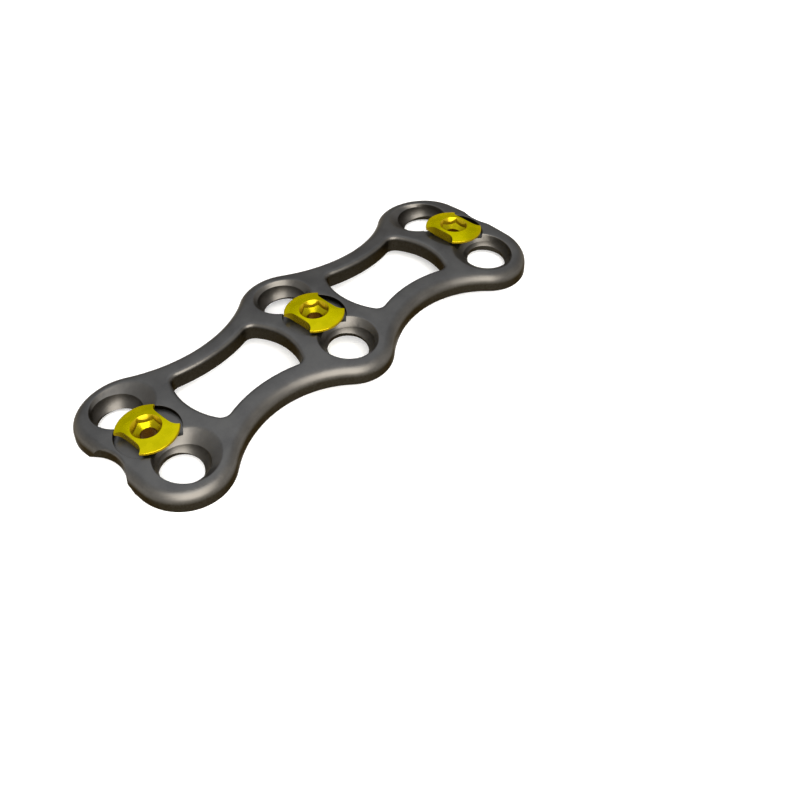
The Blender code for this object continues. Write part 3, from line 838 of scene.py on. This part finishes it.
print("cam height, mm:", round((dome_height(SOCKET_CORNER_RADIUS) - FOOT_SETBACK) * 1000.0, 2))

# %% [markdown]
# ## The driver socket
# The driver is a small hexagon key. The round mouth just touches the six corners,
# and a steep guide cone runs down from it onto the flats, which leaves a shining
# crescent on each flat. Under the hexagon a drill point left a cone ledge and a
# bore that goes right through. Every part of the socket has the same spokes, so
# one closed skin cuts all of it at once.

# %% The driver socket
SOCKET_MOUTH_ROUND = 0.00003


def socket_cutter():
    """Rings from above the dome to below the bone side. flat is half the driver's size."""
    top = dome_height(SOCKET_CORNER_RADIUS)
    corner, mouth_round = SOCKET_CORNER_RADIUS, SOCKET_MOUTH_ROUND
    flat = corner * math.cos(math.pi / 6.0)
    cone_fall = (SOCKET_CONE_DEPTH - 2.0 * mouth_round) / (corner - flat)
    ledge_fall = (LEDGE_DEPTH - SOCKET_DEPTH) / (flat - THROUGH_BORE_RADIUS)
    cone_edge, hexagon_edge = [], []
    for i in range(CAM_STEPS):
        a = math.tau * i / CAM_STEPS
        reach = flat / math.cos((a - SOCKET_TURN) % (math.pi / 3.0) - math.pi / 6.0)
        x, y = reach * math.cos(a), reach * math.sin(a)
        cone_edge.append((x, y, top - 2.0 * mouth_round - cone_fall * (corner - reach)))
        hexagon_edge.append((x, y, top - SOCKET_DEPTH + ledge_fall * (reach - flat)))
    middle = (0.0, 0.0)
    return skin("socket", [
        circle(middle, corner + 4.0 * mouth_round, top + CAM_CROWN, CAM_STEPS),
        circle(middle, corner + 4.0 * mouth_round, top + mouth_round, CAM_STEPS),
        circle(middle, corner + mouth_round, top, CAM_STEPS),
        circle(middle, corner + 0.2 * mouth_round, top - mouth_round, CAM_STEPS),
        cone_edge, hexagon_edge,
        circle(middle, THROUGH_BORE_RADIUS, top - LEDGE_DEPTH, CAM_STEPS),
        circle(middle, THROUGH_BORE_RADIUS, -OVERSHOOT, CAM_STEPS)])


def cam_blank():
    """One cam, cut and with its own place kept in an attribute for the finish."""
    mesh = cut_away(cam_body(), [("scallops", scallops()), ("socket", socket_cutter())])
    turned_place = mesh.attributes.new("turned_place", "FLOAT_VECTOR", "POINT")
    turned_place.data.foreach_set("vector", [c for v in mesh.vertices for c in v.co])
    return mesh


# %% [markdown]
# ## The gold finish
# The yellow isn't gold metal. Anodising grows a clear oxide on the titanium, and
# the thickness of that film picks the colour, as in a soap bubble. It is a strong
# lemon yellow on the flats. The steep faces are painted darker, as painted shade:
# brown deep in the socket, amber towards its mouth, olive under the rim. An orange
# tint round the rim is a painted sheen. The lathe leaves fine rings on the top face,
# so the pattern follows the place on the cam that was kept as an attribute.

# %% The gold finish
LATHE_FEED = 0.00006          # from one turned ring to the next


def anodised_gold():
    mat = bpy.data.materials.new("anodised gold")
    mat.use_nodes = True
    tree = mat.node_tree
    shader = tree.nodes["Principled BSDF"]
    place = node(tree, "ShaderNodeAttribute", attribute_name="turned_place").outputs["Vector"]
    parts = node(tree, "ShaderNodeSeparateXYZ")
    tree.links.new(place, parts.inputs[0])
    radius = maths(tree, "SQRT", maths(
        tree, "ADD", maths(tree, "MULTIPLY", parts.outputs["X"], parts.outputs["X"]),
        maths(tree, "MULTIPLY", parts.outputs["Y"], parts.outputs["Y"])))
    film = noise(tree, place, 900.0, 3.0, 0.5)
    lemon = blend(tree, stretch(tree, film, 0.3, 0.7, 0.0, 1.0),
                  (0.28, 0.255, 0.001), (0.35, 0.31, 0.002))
    flat = upward_share(tree, 0.50, 0.94)
    # painted shade on the steep faces: brown deep in the socket, amber at its mouth, olive under
    # the rim; orange is a painted sheen
    deep_painted_shade, amber, outer_wall_painted_shade, painted_orange_sheen = ((0.10, 0.036, 0.001), (0.30, 0.22, 0.004),
                                   (0.20, 0.145, 0.003), (0.42, 0.26, 0.003))
    height_share = stretch(tree, parts.outputs["Z"], 0.0014, 0.0024, 0.0, 1.0)
    # painted shade: the socket's walls are painted darker towards the bottom
    socket_painted_shade = blend(tree, height_share, deep_painted_shade, amber)
    outside = stretch(tree, radius, SOCKET_CORNER_RADIUS, 0.0018, 0.0, 1.0)
    colour = blend(tree, flat, blend(tree, outside, socket_painted_shade, outer_wall_painted_shade), lemon)
    # painted sheen: an orange tint round the rim
    painted_sheen_share = stretch(tree, radius, CAM_RADIUS - 0.00045, CAM_RADIUS, 0.0, 0.20)
    colour = blend(tree, painted_sheen_share, colour, painted_orange_sheen)
    tree.links.new(colour, shader.inputs["Base Color"])
    tree.links.new(stretch(tree, flat, 0.0, 1.0, 0.55, 1.0), shader.inputs["Metallic"])
    shader.inputs["Specular Tint"].default_value = (0.90, 0.75, 0.15, 1.0)
    rings = maths(tree, "SINE", maths(tree, "MULTIPLY", radius, math.tau / LATHE_FEED))
    uneven = noise(tree, place, 9000.0, 2.0, 0.5)
    rough = maths(tree, "ADD", stretch(tree, film, 0.3, 0.7, 0.22, 0.32),
                  stretch(tree, uneven, 0.3, 0.7, -0.02, 0.02))
    tree.links.new(rough, shader.inputs["Roughness"])
    turning = bump(tree, rings, 0.0000006, 0.10)
    tree.links.new(bump(tree, uneven, 0.0000015, 0.10, turning), shader.inputs["Normal"])
    return mat


gold = anodised_gold()
print("gold nodes:", len(gold.node_tree.nodes))

# %% [markdown]
# ## Setting the cams on the arch
# The same cam comes three times, so its place is a rule too. This tree slides a
# cam along the plate, lowers it by the fall of the arch and tilts it square to
# the arch at that row. Each cam rides on its own body, because each one turns.

# %% Setting the cams on the arch
def seat_tree():
    tree, names, start, out = new_tree("seat a cam on the arch", [
        ("Row", "NodeSocketFloat"), ("Lengthwise radius", "NodeSocketFloat"),
        ("Stand height", "NodeSocketFloat"), ("Metal", "NodeSocketMaterial")])
    row, radius = start.outputs["Row"], start.outputs["Lengthwise radius"]
    shift = node(tree, "ShaderNodeCombineXYZ")
    tilt = node(tree, "ShaderNodeCombineXYZ")
    tree.links.new(row, shift.inputs["X"])
    tree.links.new(maths(tree, "ADD", fall(tree, radius, row), start.outputs["Stand height"]),
                   shift.inputs["Z"])
    tree.links.new(maths(tree, "ARCSINE", maths(tree, "DIVIDE", row, radius)), tilt.inputs["Y"])
    seat = node(tree, "GeometryNodeTransform")
    tree.links.new(start.outputs["Geometry"], seat.inputs["Geometry"])
    tree.links.new(shift.outputs[0], seat.inputs["Translation"])
    tree.links.new(tilt.outputs[0], seat.inputs["Rotation"])
    end_tree(tree, seat.outputs[0], start.outputs["Metal"], out)
    return tree, names


CAM_CREASE = math.radians(15.0)
seating = seat_tree()
cams = {}
for side, row in (("left", -1), ("middle", 0), ("right", 1)):
    mesh = run_tree(new_object(side + "_blank", cam_blank()), seating, {
        "Row": row * ROW_PITCH, "Lengthwise radius": ARCH_RADIUS,
        "Stand height": STAND_HEIGHT, "Metal": gold})
    cams[side] = finished(side + "_gold_cam", mesh, CAM_CREASE)
    print(side, "cam:", len(mesh.polygons), "faces, top at, mm:",
          round(max(v.co.z for v in mesh.vertices) * 1000.0, 3))

# %% [markdown]
# ## Floor and light
# The plate lies on a pale floor in soft studio light. The floor and the world
# look white to the camera and in the metal. Two broad lamps do the lighting: the
# key stands near the camera and lights the top and the near fillets, and a weak
# one above and behind keeps the far edges from going black.

# %% Floor and light
def seen_share(tree):
    """1 for rays from the camera and for mirror and glass rays, else 0."""
    path = node(tree, "ShaderNodeLightPath")
    seen = maths(tree, "MAXIMUM", path.outputs["Is Camera Ray"], path.outputs["Is Glossy Ray"])
    return maths(tree, "MAXIMUM", seen, path.outputs["Is Transmission Ray"])


def pale_floor():
    half, height = 1.5, -1e-5     # just below the feet of the plate
    mesh = bpy.data.meshes.new("floor")
    mesh.from_pydata([(-half, -half, height), (half, -half, height), (half, half, height),
                      (-half, half, height)], [], [(0, 1, 2, 3)])
    floor = bpy.data.objects.new("floor", mesh)
    bpy.context.scene.collection.objects.link(floor)
    mat = bpy.data.materials.new("pale floor")
    mat.use_nodes = True
    tree = mat.node_tree
    tree.nodes.remove(tree.nodes["Principled BSDF"])
    matt = node(tree, "ShaderNodeBsdfDiffuse")
    matt.inputs["Color"].default_value = (0.80, 0.80, 0.80, 1.0)
    glow = node(tree, "ShaderNodeEmission")
    tree.links.new(maths(tree, "MULTIPLY", seen_share(tree), 0.35), glow.inputs["Strength"])
    both = node(tree, "ShaderNodeAddShader")
    tree.links.new(matt.outputs[0], both.inputs[0])
    tree.links.new(glow.outputs[0], both.inputs[1])
    tree.links.new(both.outputs[0], tree.nodes["Material Output"].inputs["Surface"])
    mesh.materials.append(mat)


def soft_lamp(name, place, side, power, colour=(1.0, 1.0, 1.0)):
    """A square lamp that looks at the plate's middle."""
    data = bpy.data.lights.new(name, "AREA")
    data.shape = "SQUARE"
    data.size = side
    data.energy = power
    data.color = colour
    lamp = bpy.data.objects.new(name, data)
    bpy.context.scene.collection.objects.link(lamp)
    aim = (-Vector(place)).to_track_quat("-Z", "Y")
    lamp.matrix_world = Matrix.Translation(place) @ aim.to_matrix().to_4x4()


def pale_world():
    world = bpy.data.worlds.new("pale world")
    bpy.context.scene.world = world
    world.use_nodes = True
    tree = world.node_tree
    background = tree.nodes["Background"]
    background.inputs["Color"].default_value = (1.0, 1.0, 1.0, 1.0)
    tree.links.new(stretch(tree, seen_share(tree), 0.0, 1.0, 0.45, 1.0),
                   background.inputs["Strength"])


pale_floor()
pale_world()
soft_lamp("key", (-0.175, -0.31, 0.27), 0.50, 6.0, (1.0, 0.97, 0.92))
soft_lamp("overhead", (0.10, 0.14, 0.42), 0.45, 0.5)
bpy.context.scene.view_settings.view_transform = "Standard"

# %% [markdown]
# ## Handing over
# Each finished piece takes the place of its plain solid and rides on the body that
# moves it. The last cell clears away the makings and hides the plain solids.

# %% Handing over
for obj in list(makings.objects):
    bpy.data.objects.remove(obj, do_unlink=True)
bpy.data.collections.remove(makings)

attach(plate, "plate")
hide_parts("bone_plate")
for side, cam in cams.items():
    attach(cam, side + "_cam")
    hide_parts(side + "_lock_cam")
